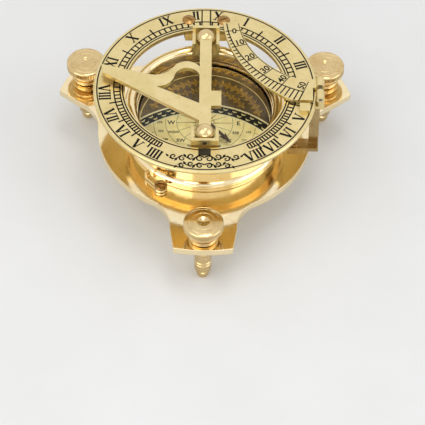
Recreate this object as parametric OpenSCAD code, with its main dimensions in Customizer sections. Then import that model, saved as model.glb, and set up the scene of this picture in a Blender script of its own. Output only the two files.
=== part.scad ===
// Equatorial sundial compass: a tilting hour ring with a folding gnomon and a folding
// latitude arc, over a compass bowl on a three-armed base with levelling screws.
// Heights are measured from the table; plan positions from the upright axis of the bowl.

/* [Base plate] */
// Height of the underside of the plate above the table
plate_z = 22.5; // [20:0.5:26]
// Thickness of the plate
plate_t = 3.3; // [2.5:0.1:4.5]
// Width of the plate's round middle outside the foot of the bowl
plate_rim_w = 12.5; // [10:0.5:17]
// Reach of the arms from the axis to their ends
arm_r = 69.5; // [66:0.5:76]
// Width of an arm at its end
arm_end_w = 25.4; // [20:0.2:27]
// Width of an arm where it leaves its fillets
arm_root_w = 29.4; // [28:0.2:31]
// Radius of the concave fillets beside the arms
arm_fillet_r = 17; // [14:1:22]

/* [Levelling screws] */
// Radius from the axis to each levelling screw
level_r = 62; // [60:0.5:64]
// Radius of the threaded stem
stem_r = 2.5; // [2:0.1:3]
// Lead of the thread, the rise for one turn
thread_lead = 0.8; // [0.5:0.05:1.2]
// Turns of a knob that draw its screw right up
level_turns = 4; // [2:0.5:5]
// Radius of the turned foot under its collar
foot_r = 4.1; // [3.6:0.1:4.6]
// Radius of the ball at the tip of the foot
foot_ball_r = 2.7; // [2.2:0.1:3]
// Radius of the flat that rests on the table
foot_flat_r = 1.2; // [0.8:0.1:1.6]
// Radius of the knurled disc of the knob
knob_r = 8.7; // [8:0.1:10]
// Height of the knurled disc
knob_disc_h = 4.2; // [3:0.2:5.5]
// Radius of the collar under the disc
knob_collar_r = 6.4; // [5:0.1:7]
// Height of the collar and neck under the disc
knob_neck_h = 6.2; // [5:0.2:8]
// Gap between the knob and the arm when the screw is right down
knob_seat_gap = 0.4; // [0.3:0.05:0.8]

/* [Compass bowl] */
// Height of the bowl with its bezel above the plate
bowl_h = 19.5; // [17:0.5:23]
// Outer radius of the bowl wall
bowl_r = 33.6; // [32.6:0.1:34.6]
// Width of the foot flange outside the wall
bowl_flange_w = 1.4; // [0.9:0.1:1.9]
// Height of the foot flange
bowl_foot_h = 1.2; // [0.8:0.1:1.8]
// Thickness of the bowl wall
bowl_wall = 2.4; // [2:0.1:2.6]
// Thickness of the bowl floor
bowl_floor_t = 1.8; // [1.4:0.1:2.4]
// Width of the ledge that carries the card
card_ledge = 2; // [1.5:0.1:2.5]
// Overhang of the rounded bezel outside the wall
bezel_over = 1.7; // [1.2:0.1:2]
// Width of the bezel from its bore to its edge
bezel_w = 5.1; // [4.5:0.1:6.3]
// Height of the bezel
bezel_h = 4.6; // [4:0.1:5.5]

/* [Compass] */
// Height of the upper face of the card above the plate
card_h = 4.4; // [4:0.1:5]
// Thickness of the card
card_t = 0.8; // [0.6:0.1:1.2]
// Height of the chapter ring between the card and the glass
chapter_h = 5.6; // [5:0.1:6.2]
// Wall of the chapter ring
chapter_wall = 2; // [1.4:0.1:2.4]
// Thickness of the glass
glass_t = 1.5; // [1:0.1:2]
// Height of the ring that keeps the glass down
retainer_h = 1.3; // [1:0.1:1.8]
// Wall of the ring that keeps the glass down
retainer_wall = 1.4; // [1:0.1:2]
// Length of the needle from the pivot to each point
needle_len = 18; // [16:0.5:22]
// Greatest width of the needle
needle_w = 3.2; // [2.4:0.1:4.5]
// Thickness of the needle
needle_t = 0.5; // [0.4:0.05:0.8]
// Height of the needle over the card
needle_lift = 2.4; // [1.8:0.1:3]
// Direction of the north point of the needle, anticlockwise from east
needle_dir = 310; // [0:5:355]
// Radius of the pivot pin
pivot_r = 0.6; // [0.4:0.05:0.8]
// Radius of the needle cap
cap_r = 2.2; // [1.8:0.1:2.8]
// Gap between the needle cap and the glass
cap_gap = 0.4; // [0.3:0.05:0.6]

/* [Needle lock] */
// Distance of the lock lever's screw outside the foot of the bowl
lock_out = 4.5; // [4:0.1:6]
// Direction of the lock lever's screw, anticlockwise from east
lock_dir = -118.5; // [-125:0.5:-112]
// Length of the lever from its screw to its tab
lock_len = 8.6; // [7:0.1:10]
// Width of the lever
lock_w = 2.6; // [2:0.1:3]
// Thickness of the lever
lock_t = 1.2; // [0.8:0.1:1.6]
// Direction of the lever at rest, anticlockwise from east
lock_lever_dir = 134; // [130:1:140]
// Height of the thumb tab over the lever
lock_tab_h = 2.6; // [1.5:0.1:4]

/* [Hour ring] */
// Gap between the bezel and the hour ring
ring_gap = 6.1; // [5.8:0.1:8]
// Outer radius of the hour ring
ring_r = 49.1; // [48:0.1:50.5]
// Inner radius of the hour ring
ring_bore_r = 35.3; // [34.5:0.1:36]
// Thickness of the hour ring
ring_t = 2.1; // [1.6:0.1:2.8]
// Rounding of the ring's outer edge
ring_edge = 0.5; // [0.2:0.1:0.7]

/* [Ring hinge] */
// Distance of the hinge axis behind the bezel
hinge_back = 2.9; // [2.7:0.1:3.4]
// Drop of the hinge axis under the ring
hinge_drop = 4.9; // [4.4:0.1:5.1]
// Radius of the hinge knuckles
knuckle_r = 2.2; // [1.9:0.1:2.3]
// Radius of the hinge pin
hinge_pin_r = 1; // [0.8:0.05:1.2]
// Width of the middle knuckle
mid_knuckle_w = 9; // [8.6:0.2:9.4]
// Width of each outer knuckle
side_knuckle_w = 4.6; // [3.6:0.2:5.4]
// Thickness of the leaf under the ring
leaf_t = 1.6; // [1.2:0.1:2]
// Distance from the middle to each screw in the ring
ring_screw_x = 7.8; // [7.6:0.1:8.4]
// Distance of those screws behind the hinge axis
ring_screw_back = 3; // [2.7:0.1:3.4]
// Radius of the heads of those screws
ring_screw_r = 2.9; // [2.4:0.1:3.1]

/* [Gnomon] */
// Distance from the middle to each gnomon pivot
gnomon_y = 28.2; // [27.6:0.1:28.6]
// Width of the straight bar
bar_w = 5.2; // [4.4:0.1:5.8]
// Thickness of the gnomon plate
gnomon_t = 2; // [1.4:0.1:2.2]
// Gap between the hour ring and the folded gnomon
gnomon_gap = 2.4; // [2.2:0.1:3]
// Reach of the gnomon from its bar to the tip of the style
style_reach = 45; // [42:0.5:47]
// Angle between the style and the dial plane
style_angle = 57; // [52:0.5:60]
// Radius of the round heads on the pivots
head_r = 4.3; // [4:0.1:4.5]
// Radial clearance of the heads in their yokes
head_fit = 0.3; // [0.3:0.05:0.4]
// Thickness of the yoke walls
yoke_wall = 1.4; // [1.2:0.1:1.8]
// Reach of the square tab beside the bar
tab_reach = 4.4; // [3:0.1:5]
// Length of the square tab
tab_l = 8.8; // [6:0.2:10]
// Length of the flat block that holds the south yoke
clamp_l = 5.3; // [4.4:0.1:6]
// Width of that block
clamp_w = 3.5; // [3:0.1:3.8]

/* [Latitude arc] */
// Distance of the arc's hinge axis outside the ring
arc_hinge_out = 1.1; // [1:0.1:1.6]
// Radius of the arc's hinge knuckles
arc_knuckle_r = 1.8; // [1.6:0.1:2]
// Thickness of the arc
arc_t = 1.6; // [1.2:0.1:1.8]
// Radius of the arc's outer edge
arc_out_r = 57.6; // [56.6:0.1:58.2]
// Radius of the arc's inner edge
arc_in_r = 40.8; // [39.8:0.1:41.8]
// Distance from the dial's middle to the outer edge, where it runs straight back
arc_out_x = 7.4; // [6.8:0.1:8]
// Distance from the dial's middle to the inner edge, where it runs straight back
arc_in_x = 14.6; // [13.8:0.1:15.2]
// Distance of both centres behind the ring's hinge axis
arc_back = 4.1; // [3.4:0.1:4.8]
// Gap between the hour ring and the folded arc
arc_gap = 0.5; // [0.35:0.05:0.7]
// Length of each knuckle of the arc's hinge
arc_knuckle_l = 5; // [4.2:0.1:5.6]
// Length of the pin that shows between the knuckles
arc_pin_l = 2.5; // [1.5:0.1:3]
// Width of the square stud that holds the arc's bracket
stud_w = 4.5; // [3.8:0.1:5]
// Height of the stud above the ring
stud_h = 2; // [1.4:0.1:2.4]

/* [Index post] */
// Width of the post seen from the front
post_w = 4.2; // [3:0.1:5]
// Thickness of the post
post_t = 2.4; // [1.8:0.1:3]
// Thickness of the post's foot on the plate
post_foot_t = 1.8; // [1.4:0.1:2.2]
// Reach of the foot in front of the post
post_foot_l = 3.6; // [2.4:0.1:4.4]
// Gap between the post and the bracket that rests over it
post_gap = 0.35; // [0.3:0.05:0.6]

/* [Fits] */
// Radial clearance of a levelling screw's stem in its arm and its knob
stem_fit = 0.05; // [0.02:0.01:0.08]
// Radial clearance of the card, the glass and their rings in the bowl
card_fit = 0.2; // [0.1:0.05:0.4]
// Running clearance of the needle on its pivot
pivot_fit = 0.05; // [0.02:0.01:0.08]
// Running clearance of the hinge pins and of the lever on its screw
pin_fit = 0.05; // [0.02:0.01:0.08]
// Radial clearance of a fixed pin or screw in its hole
seat_fit = 0.03; // [0.02:0.01:0.05]
// Gap between parts that turn beside each other
side_gap = 0.35; // [0.3:0.05:0.5]

/* [Hidden] */
$fn = 96;
over = 0.5;
brass = [0.86, 0.70, 0.36];
pale_brass = [0.88, 0.81, 0.56];
copper = [0.80, 0.50, 0.24];
steel = [0.45, 0.47, 0.50];

// Levels above the table
plate_top = plate_z + plate_t;
bowl_top = plate_top + bowl_h;
bezel_z = bowl_top - bezel_h;
card_top = plate_top + card_h;
glass_z = card_top + chapter_h;
retainer_z = glass_z + glass_t;
ring_z = bowl_top + ring_gap;
ring_top = ring_z + ring_t;
leaf_z = ring_z - leaf_t;

// Plan of the whole: the origin lies under the middle of the footprint
front_reach = max(arm_r, level_r + knob_r);
axis_y = (front_reach - ring_r) / 2;
bowl_foot_r = bowl_r + bowl_flange_w;
plate_r = bowl_foot_r + plate_rim_w;
bowl_bore_r = bowl_r - bowl_wall;
bezel_r = bowl_r + bezel_over;
bezel_bore_r = bezel_r - bezel_w;
lock_r = bowl_foot_r + lock_out;
card_r = bowl_bore_r - card_fit;
yoke_out_y = gnomon_y + head_r + head_fit + yoke_wall;
hinge_y = max(bezel_r, yoke_out_y + side_gap) + hinge_back;
hinge_z = ring_z - hinge_drop;
ring_screw_y = hinge_y + ring_screw_back;
arm_dirs = [-90, 150, 30];
arm_half_angle = 180 / len(arm_dirs);
fillet_bite = 0.15;

// Levelling screws
level_travel = thread_lead * level_turns;
knob_z = plate_top + knob_seat_gap;
knob_top = knob_z + knob_neck_h + knob_disc_h;
foot_top = plate_z - level_travel - 0.6;
stem_top = knob_top - 1.4;

// Needle and pivot
needle_z = card_top + needle_lift;
cap_z = needle_z + needle_t;
cap_top = glass_z - cap_gap;
cap_h = cap_top - cap_z;
pivot_tip = cap_top - 0.6;
pivot_flange_r = 2.6;
pivot_flange_t = 0.7;
pivot_stem_r = 1;
needle_head_l = 6;
needle_notch = 1;
needle_tail_l = 3;
needle_tail_notch = 1.2;

// Bowl and bezel
bezel_lip = 1.1;
bezel_spigot_h = 1.2;

// Lock lever
lock_lift = 0.3;
lock_z = plate_top + lock_lift;
lock_shank_r = 1.3;
lock_head_r = 2.8;
lock_head_h = 1.5;
lock_hub_r = 2.9;

// Screws under the bowl and through feet and brackets
bowl_screw_r = 24;
small_shank_r = 1.3;
small_head_r = 2.3;
small_head_h = 1.1;
flat_shank_r = 0.9;
flat_head_r = 1.7;
flat_head_h = 0.5;
screw_bite = 2.4;
tip_gap = 0.1;

// Hinge of the hour ring
bracket_wall = 3;
bracket_w = 16;
bracket_flange_t = 2.2;
bracket_screw_x = 5;
bracket_screw_y = hinge_y + 4;
bracket_flange_y = bracket_screw_y + 3.6;
hinge_half = mid_knuckle_w / 2 + side_gap + side_knuckle_w;
leaf_half = hinge_half + 0.6;
leaf_back = ring_screw_back + 3.6;

// Gnomon pivots and yokes
gnomon_z = ring_top + gnomon_gap;
pivot_z = gnomon_z - 0.7;
gnomon_pin_r = 1;
pin_start = 0.4;
yoke_in_y = gnomon_y - 3.7;
yoke_half_w = head_r + head_fit + yoke_wall;
yoke_low_z = ring_z - 3.9;
yoke_cheek_z = gnomon_z - 0.4;
yoke_tab_y = hinge_y + 1.6;
yoke_tab_w = 8.6;
yoke_wall_top = pivot_z + gnomon_pin_r + 1.1;
yoke_screw_y = (ring_bore_r + yoke_tab_y) / 2;
yoke_bite = ring_t * 0.7;

// Gnomon outline: bar, style and tip
gnomon_half = bar_w / 2;
style_rise = 1 / tan(style_angle);
style_foot_y = -gnomon_y + head_r + 0.9;
tip_y = style_foot_y + (style_reach - gnomon_half) * style_rise;
tip_h = 4.8;
tab_y = -14.5;
// Circles of the outer edge: the hump beside the bar and the hollow beside it
hump_r = 6.6;
hump_out = 5.6;
hump_rise = 0.5;
hollow_out = 19.9;
hollow_rise = 8.7;
hump = [-gnomon_half - hump_out, tip_y + hump_rise];
hollow = [-gnomon_half - hollow_out, tip_y + hollow_rise];
hollow_r = norm(hollow - hump) - hump_r;
// Circles of the window, drawn the same way
eye_r = 5.6;
eye_out = 5.4;
eye_drop = 2.4;
tongue_out = 18.6;
tongue_drop = 0.2;
window_foot_l = 9.9;
window_tip_out = 20.6;
window_tip_drop = 7.1;
eye = [-gnomon_half - eye_out, tip_y - eye_drop];
tongue = [-gnomon_half - tongue_out, tip_y - tongue_drop];
tongue_r = norm(tongue - eye) - eye_r;
window_foot_y = style_foot_y + window_foot_l;
window_tip = [-gnomon_half - window_tip_out, tip_y - window_tip_drop];

// Latitude arc
arc_x = ring_r + arc_hinge_out;
arc_z = ring_top + arc_gap;
arc_axis_z = arc_z + arc_t + 0.05;
arc_centre_y = hinge_y + arc_back;
arc_north_y = ring_screw_y - ring_screw_r - side_gap;
arc_side_x = arc_x - arc_knuckle_r - 1.4;
arc_root = 7;
arc_pin_r = 0.8;
arc_web_x = ring_r + side_gap;
arc_low_y = -8.35;
bracket_top_y = arc_low_y + arc_knuckle_l;
arc_knuckle_y = bracket_top_y + arc_pin_l;
stud_x = ring_r - 5.7;
stud_y = arc_low_y - 3.8;
bracket_in_x = stud_x - stud_w / 2;

// Index post
post_y = -8.2;
post_x = arc_x - post_w;
post_top = leaf_z - post_gap;
post_screw_x = bezel_r + 4.2;
post_foot_x = bowl_foot_r + 1.6;
post_screw_y = post_y + (post_t - post_foot_l) / 2;

// A plan point turned about the axis
function turned(p, a) = [p[0] * cos(a) - p[1] * sin(a), p[0] * sin(a) + p[1] * cos(a)];

// Moves a part from the bowl's axis to the middle of the footprint
module set_down() translate([0, axis_y, 0]) children();

// A ring with square edges, standing on z
module tube(r_out, r_in, z, h) translate([0, 0, z]) difference() {
    cylinder(r = r_out, h = h);
    translate([0, 0, -over]) cylinder(r = r_in, h = h + 2 * over);
}

// A box that is centred on x
module block_x(w, y0, y1, z0, z1)
    translate([-w / 2, y0, z0]) cube([w, y1 - y0, z1 - z0]);

// A cylinder along x
module rod_x(r, x0, x1, y, z) translate([x0, y, z]) rotate([0, 90, 0]) cylinder(r = r, h = x1 - x0);

// A cylinder along y
module rod_y(r, y0, y1, x, z) translate([x, y0, z]) rotate([-90, 0, 0]) cylinder(r = r, h = y1 - y0);

// A screw with a low round head and a driver slot; z is the seat of the head
module round_screw(r, h, shank_r, shank_l) {
    translate([0, 0, -shank_l]) cylinder(r = shank_r, h = shank_l + h * 0.3, $fn = 32);
    difference() {
        rotate_extrude($fn = 48) intersection() {
            square([r, h]);
            translate([0, h - r * 2]) circle(r = r * 2);
        }
        translate([-r - over, -r * 0.11, h * 0.45]) cube([2 * (r + over), r * 0.22, h]);
    }
}

// The space between two arms, centred on -y: the sides of both arms and their concave fillets.
// A fillet's circle bites a little into the plate's edge and the arm's side.
module arm_gap() {
    root = arm_root_w / 2;
    reach = plate_r + arm_fillet_r - fillet_bite;
    fillet_x = root + arm_fillet_r - fillet_bite;
    fillet_y = -sqrt(reach * reach - fillet_x * fillet_x);
    corners = [[fillet_x, fillet_y], [root, fillet_y], [arm_end_w / 2, -arm_r - over]];
    side = [for (p = corners) turned(p, -arm_half_angle)];
    other = [for (i = [2:-1:0]) [-side[i][0], side[i][1]]];
    difference() {
        union() {
            linear_extrude(plate_t + 2 * over)
                polygon(concat([[0, 0]], side, [[0, -2 * arm_r]], other));
            for (p = [side[0], other[2]]) translate(p)
                cylinder(r = arm_fillet_r, h = plate_t + 2 * over, $fn = 120);
        }
        translate([0, 0, -over]) cylinder(r = plate_r, h = plate_t + 4 * over, $fn = 240);
    }
}

module base_plate() color(brass) set_down() difference() {
    translate([0, 0, plate_z]) cylinder(r = arm_r, h = plate_t, $fn = 240);
    for (dir = arm_dirs) {
        rotate(dir + 90 + arm_half_angle) translate([0, 0, plate_z - over]) arm_gap();
        rotate(dir) translate([level_r, 0, plate_z - over])
            cylinder(r = stem_r + stem_fit, h = plate_t + 2 * over, $fn = 48);
        rotate(dir + arm_half_angle) translate([bowl_screw_r, 0, plate_z - over]) {
            cylinder(r = small_shank_r, h = plate_t + 2 * over, $fn = 32);
            cylinder(r = small_head_r, h = small_head_h + over, $fn = 32);
        }
    }
    rotate(lock_dir) translate([lock_r, 0, plate_z - over])
        cylinder(r = lock_shank_r + seat_fit, h = plate_t + 2 * over, $fn = 32);
    for (x = [-1, 1]) translate([x * bracket_screw_x, bracket_screw_y, plate_top - screw_bite])
        cylinder(r = small_shank_r, h = screw_bite + over, $fn = 32);
    translate([post_screw_x, post_screw_y, plate_top - screw_bite])
        cylinder(r = small_shank_r, h = screw_bite + over, $fn = 32);
}

// Stem, collar and turned foot of a levelling screw, on its own axis
module levelling_screw() {
    neck_z = foot_ball_r * 1.75;
    ball_z = sqrt(foot_ball_r * foot_ball_r - foot_flat_r * foot_flat_r);
    groove_z = foot_top * 0.62;
    rotate_extrude() {
        difference() {
            translate([0, ball_z]) circle(r = foot_ball_r, $fn = 64);
            translate([-foot_ball_r * 2, -foot_ball_r * 2]) square([foot_ball_r * 2, foot_ball_r * 6]);
            translate([-over, -foot_ball_r * 2]) square([foot_ball_r * 2, foot_ball_r * 2]);
        }
        polygon([[0, ball_z], [foot_ball_r * 0.6, neck_z], [foot_r * 0.86, neck_z + 0.9],
            [foot_r * 0.9, groove_z], [foot_r * 0.8, groove_z + 0.35], [foot_r * 0.92, groove_z + 0.7],
            [foot_r, foot_top - 1.4], [foot_r + 0.5, foot_top - 0.7], [foot_r + 0.3, foot_top],
            [stem_r, foot_top], [stem_r, stem_top], [0, stem_top]]);
    }
}

// Knurled disc, bead, neck and collar of a knob, on its own axis
module levelling_knob() {
    disc_z = knob_z + knob_neck_h;
    difference() {
        rotate_extrude() difference() {
            union() {
                polygon([[0, knob_z], [knob_collar_r * 0.86, knob_z], [knob_collar_r, knob_z + 0.8],
                    [knob_collar_r, knob_z + 1.9], [knob_collar_r * 0.8, knob_z + 2.7],
                    [knob_collar_r * 0.76, knob_z + 3.5], [knob_r * 0.8, knob_z + 4.1],
                    [knob_r * 0.85, knob_z + 4.6], [knob_r * 0.85, disc_z - 0.9],
                    [knob_r * 0.78, disc_z - 0.6], [knob_r * 0.78, disc_z - 0.2],
                    [knob_r - 0.5, disc_z], [knob_r, disc_z + 0.5], [knob_r, knob_top - 0.6],
                    [knob_r - 0.6, knob_top], [knob_r - 1.6, knob_top], [knob_r - 2.1, knob_top - 0.5],
                    [0, knob_top - 0.5]]);
            }
            translate([0, knob_top + 1.1]) circle(r = 2, $fn = 64);
        }
        translate([0, 0, knob_z - over])
            cylinder(r = stem_r + stem_fit, h = stem_top - knob_z + over + 0.2, $fn = 48);
    }
}

module at_arm(i) rotate(arm_dirs[i]) translate([level_r, 0, 0]) children();

module levelling_screw_front() color(brass) set_down() at_arm(0) levelling_screw();
module levelling_screw_left() color(brass) set_down() at_arm(1) levelling_screw();
module levelling_screw_right() color(brass) set_down() at_arm(2) levelling_screw();
module levelling_knob_front() color(brass) set_down() at_arm(0) levelling_knob();
module levelling_knob_left() color(brass) set_down() at_arm(1) levelling_knob();
module levelling_knob_right() color(brass) set_down() at_arm(2) levelling_knob();

// Bowl: foot flange, coved wall, floor and the ledge for the card
module compass_bowl() color(brass) set_down() difference() {
    cove = bowl_foot_r - bowl_r + 1.2;
    translate([0, 0, plate_top]) rotate_extrude() difference() {
        union() {
            square([bowl_foot_r, bowl_foot_h]);
            square([bowl_r, bowl_h - bezel_h]);
            difference() {
                square([bowl_r + cove - 1.2, bowl_foot_h + cove]);
                translate([bowl_r + cove, bowl_foot_h + cove]) circle(r = cove, $fn = 64);
            }
        }
        translate([0, bowl_floor_t]) square([bowl_bore_r - card_ledge, bowl_h]);
        translate([0, card_h - card_t]) square([bowl_bore_r, bowl_h]);
        translate([0, bowl_h - bezel_h - bezel_spigot_h]) square([bowl_r - bezel_lip, 2 * bezel_spigot_h]);
    }
    for (dir = arm_dirs) rotate(dir + arm_half_angle) translate([bowl_screw_r, 0, plate_top - over])
        cylinder(r = small_shank_r, h = bowl_floor_t + 2 * over, $fn = 32);
}

// Rounded bezel that caps the bowl, with a spigot inside the wall
module bowl_bezel() color(brass) set_down() translate([0, 0, bezel_z]) rotate_extrude() {
    mid = (bezel_r + bezel_bore_r) / 2;
    half = (bezel_r - bezel_bore_r) / 2;
    translate([bezel_bore_r, 0]) square([bezel_r - bezel_bore_r, bezel_h - half]);
    translate([mid, bezel_h - half]) intersection() {
        circle(r = half, $fn = 64);
        translate([-half, 0]) square([2 * half, half]);
    }
    translate([bezel_bore_r, -bezel_spigot_h])
        square([bowl_r - bezel_lip - card_fit - bezel_bore_r, bezel_spigot_h]);
}

module bowl_screws() color(copper) set_down()
    for (dir = arm_dirs) rotate(dir + arm_half_angle) translate([bowl_screw_r, 0, plate_z + small_head_h])
        mirror([0, 0, 1])
            round_screw(small_head_r - seat_fit, small_head_h - tip_gap, small_shank_r - seat_fit,
                plate_t - small_head_h + bowl_floor_t - tip_gap);

module compass_card() color(pale_brass) set_down()
    tube(card_r, pivot_stem_r + seat_fit, card_top - card_t, card_t);

module chapter_ring() color(brass) set_down()
    tube(card_r, card_r - chapter_wall, card_top, chapter_h);

module compass_glass() color([0.8, 0.9, 0.9, 0.3]) set_down()
    translate([0, 0, glass_z]) cylinder(r = card_r, h = glass_t);

module glass_retainer() color(brass) set_down()
    tube(card_r, card_r - retainer_wall, retainer_z, retainer_h);

module needle_pivot() color(steel) set_down() rotate_extrude($fn = 48)
    polygon([[0, card_top - card_t - pivot_flange_t], [pivot_flange_r, card_top - card_t - pivot_flange_t],
        [pivot_flange_r, card_top - card_t], [pivot_stem_r, card_top - card_t],
        [pivot_stem_r, needle_z - 0.4], [pivot_r, needle_z - 0.4], [pivot_r, pivot_tip - 0.6],
        [0, pivot_tip]]);

// Arrow outline of the needle, pointing along +x
module needle_outline() {
    w = needle_w / 2;
    shaft = w * 0.35;
    barb = needle_len - needle_head_l;
    tail = -needle_len;
    half = [[needle_len, 0], [barb, w], [barb + needle_notch, shaft], [cap_r, shaft],
        [cap_r * 0.7, w], [-cap_r * 0.7, w], [-cap_r, shaft], [tail + needle_tail_l, shaft],
        [tail, w * 0.9], [tail + needle_tail_notch, 0]];
    polygon(concat(half, [for (i = [len(half) - 2 : -1 : 1]) [half[i][0], -half[i][1]]]));
}

module compass_needle() color(steel) set_down() difference() {
    translate([0, 0, needle_z]) rotate(needle_dir) linear_extrude(needle_t) needle_outline();
    translate([0, 0, needle_z - over]) cylinder(r = pivot_r + pivot_fit, h = needle_t + 2 * over, $fn = 48);
}

module needle_cap() color(brass) set_down() difference() {
    rotate_extrude($fn = 48) polygon([[0, cap_z], [cap_r, cap_z], [cap_r * 0.9, cap_z + cap_h * 0.5],
        [cap_r * 0.5, cap_z + cap_h], [0, cap_z + cap_h]]);
    translate([0, 0, cap_z - over])
        cylinder(r = pivot_r + pivot_fit, h = over + pivot_tip - cap_z + pivot_fit, $fn = 48);
}

module at_lock() rotate(lock_dir) translate([lock_r, 0, 0]) rotate(-lock_dir) children();

module lock_lever() color(brass) set_down() at_lock() difference() {
    union() {
        translate([0, 0, lock_z]) cylinder(r = lock_hub_r, h = lock_t, $fn = 48);
        rotate(lock_lever_dir) {
            translate([0, -lock_w / 2, lock_z]) cube([lock_len, lock_w, lock_t]);
            translate([lock_len, 0, lock_z]) cylinder(r = lock_w / 2, h = lock_t, $fn = 32);
            translate([lock_len - 0.5, -lock_w / 2 + 0.2, lock_z])
                cube([1.1, lock_w - 0.4, lock_t + lock_tab_h]);
        }
    }
    translate([0, 0, lock_z - over]) cylinder(r = lock_shank_r + pin_fit, h = lock_t + 2 * over, $fn = 48);
}

module lock_screw() color(copper) set_down() at_lock() {
    head_z = lock_z + lock_t + lock_lift;
    translate([0, 0, head_z])
        round_screw(lock_head_r, lock_head_h, lock_shank_r, head_z - plate_z - tip_gap);
}

// Hinge bracket: a flanged upright behind the bowl with the middle knuckle
module hinge_bracket() color(brass) set_down() difference() {
    union() {
        rod_x(knuckle_r, -mid_knuckle_w / 2, mid_knuckle_w / 2, hinge_y, hinge_z);
        block_x(mid_knuckle_w, hinge_y - bracket_wall / 2, hinge_y + bracket_wall / 2, plate_top, hinge_z);
        block_x(bracket_w, hinge_y - bracket_wall / 2, bracket_flange_y, plate_top,
            plate_top + bracket_flange_t);
    }
    rod_x(hinge_pin_r + pin_fit, -mid_knuckle_w, mid_knuckle_w, hinge_y, hinge_z);
    for (x = [-1, 1]) translate([x * bracket_screw_x, bracket_screw_y, plate_top - over])
        cylinder(r = small_shank_r, h = bracket_flange_t + 2 * over, $fn = 32);
}

module bracket_screws() color(copper) set_down()
    for (x = [-1, 1]) translate([x * bracket_screw_x, bracket_screw_y, plate_top + bracket_flange_t])
        round_screw(small_head_r, small_head_h, small_shank_r - seat_fit,
            bracket_flange_t + screw_bite - tip_gap);

module hinge_pin() color(steel) set_down()
    rod_x(hinge_pin_r, -hinge_half - side_gap, hinge_half + side_gap, hinge_y, hinge_z);

// Leaf under the ring with two outer knuckles, notched for the yoke's tab
module hinge_leaf() color(pale_brass) set_down() difference() {
    union() {
        block_x(2 * leaf_half, hinge_y - knuckle_r, hinge_y + leaf_back, leaf_z, ring_z);
        for (side = [0, 1]) mirror([side, 0, 0]) {
            rod_x(knuckle_r, hinge_half - side_knuckle_w, hinge_half, hinge_y, hinge_z);
            translate([hinge_half - side_knuckle_w, hinge_y - knuckle_r, hinge_z])
                cube([side_knuckle_w, 2 * knuckle_r, leaf_z - hinge_z]);
        }
    }
    block_x(yoke_tab_w + 2 * side_gap, hinge_y - knuckle_r - over, yoke_tab_y + side_gap, leaf_z - over,
        ring_z + over);
    rod_x(hinge_pin_r + pin_fit, -hinge_half - over, hinge_half + over, hinge_y, hinge_z);
    for (x = [-1, 1]) translate([x * ring_screw_x, ring_screw_y, leaf_z - over])
        cylinder(r = small_shank_r, h = leaf_t + 2 * over, $fn = 32);
}

module ring_screws() color(copper) set_down()
    for (x = [-1, 1]) translate([x * ring_screw_x, ring_screw_y, ring_top]) rotate(x * 25)
        round_screw(ring_screw_r, 1, small_shank_r - seat_fit, ring_t + leaf_t - tip_gap);

// Hour ring with its rounded outer edge and its screw holes
module dial_ring() color(pale_brass) set_down() difference() {
    translate([0, 0, ring_z]) rotate_extrude($fn = 240) difference() {
        translate([ring_bore_r, 0]) square([ring_r - ring_bore_r, ring_t]);
        for (z = [0, ring_t]) translate([ring_r, z]) rotate(45)
            square(ring_edge * sqrt(2), center = true);
    }
    for (x = [-1, 1]) translate([x * ring_screw_x, ring_screw_y, ring_z - over])
        cylinder(r = small_shank_r, h = ring_t + 2 * over, $fn = 32);
    translate([0, yoke_screw_y, ring_z - over]) cylinder(r = flat_shank_r, h = over + yoke_bite, $fn = 32);
    translate([0, -yoke_screw_y, ring_z - over])
        cylinder(r = flat_shank_r, h = ring_t + 2 * over, $fn = 32);
    translate([stud_x, stud_y, ring_z - over])
        cylinder(r = small_shank_r, h = ring_t + 2 * over, $fn = 32);
}

// Yoke for one end of the gnomon, drawn at the +y side
module yoke() difference() {
    union() {
        block_x(2 * yoke_half_w, yoke_in_y, yoke_out_y, yoke_low_z, yoke_cheek_z);
        block_x(2 * yoke_half_w, yoke_out_y - yoke_wall, yoke_out_y, yoke_low_z, yoke_wall_top);
        block_x(yoke_tab_w, yoke_out_y - over, yoke_tab_y, leaf_z, ring_z);
    }
    block_x(2 * (head_r + head_fit), yoke_in_y - over, yoke_out_y - yoke_wall, yoke_low_z + yoke_wall,
        yoke_wall_top + over);
    rod_y(gnomon_pin_r, yoke_out_y - yoke_wall - over, yoke_out_y + over, 0, pivot_z);
    translate([0, yoke_screw_y, leaf_z - over])
        cylinder(r = flat_shank_r, h = leaf_t + 2 * over, $fn = 32);
}

module north_yoke() color(pale_brass) set_down() yoke();
module south_yoke() color(pale_brass) set_down() mirror([0, 1, 0]) yoke();

// The north yoke is held from below, the south yoke by a flat block on a screw
module yoke_screws() color(steel) set_down() {
    translate([0, yoke_screw_y, leaf_z]) mirror([0, 0, 1])
        round_screw(flat_head_r, flat_head_h, flat_shank_r - seat_fit, leaf_t + yoke_bite - tip_gap);
    translate([0, -yoke_screw_y, 0]) {
        block_x(clamp_l, -clamp_w / 2, clamp_w / 2, ring_top, ring_top + flat_head_h);
        translate([0, 0, leaf_z + tip_gap])
            cylinder(r = flat_shank_r - seat_fit, h = ring_top - leaf_z, $fn = 32);
    }
}

module gnomon_pins() color(steel) set_down()
    for (side = [0, 1]) mirror([0, side, 0])
        rod_y(gnomon_pin_r - seat_fit, gnomon_y + pin_start, yoke_out_y, 0, pivot_z);

// Gnomon: straight bar, sloping style, S-shaped outer edge and the S-shaped window inside
// A flat piece as thick as the gnomon, and a cutter that runs past both of its faces
module sheet() translate([0, 0, gnomon_z]) linear_extrude(gnomon_t) children();
module cutter() translate([0, 0, gnomon_z - over]) linear_extrude(gnomon_t + 2 * over) children();

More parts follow.
